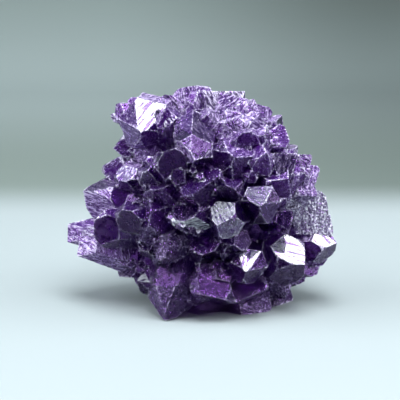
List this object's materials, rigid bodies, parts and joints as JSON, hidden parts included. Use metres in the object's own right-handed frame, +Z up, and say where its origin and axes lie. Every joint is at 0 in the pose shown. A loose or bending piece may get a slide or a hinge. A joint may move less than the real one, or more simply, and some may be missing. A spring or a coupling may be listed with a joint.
{
  "type": "amethyst cluster",
  "caption": "Palm-sized cluster of intergrown violet quartz crystals spreading from one heart, cut flat underneath to stand.",
  "frame": {"origin": "middle of the bounding box's underside, on the plane that the cluster stands on", "axes": "+Z up; -Y towards the viewer of the picture, the side that the crystals face; +X to the right in the picture, along the cluster's width"},
  "size_m": [0.054, 0.0392, 0.0432],
  "materials": {
    "amethyst": "clear violet quartz with glassy crystal faces"
  },
  "bodies": {
    "root": {"amethyst_cluster": "amethyst"}
  },
  "joints": []
}
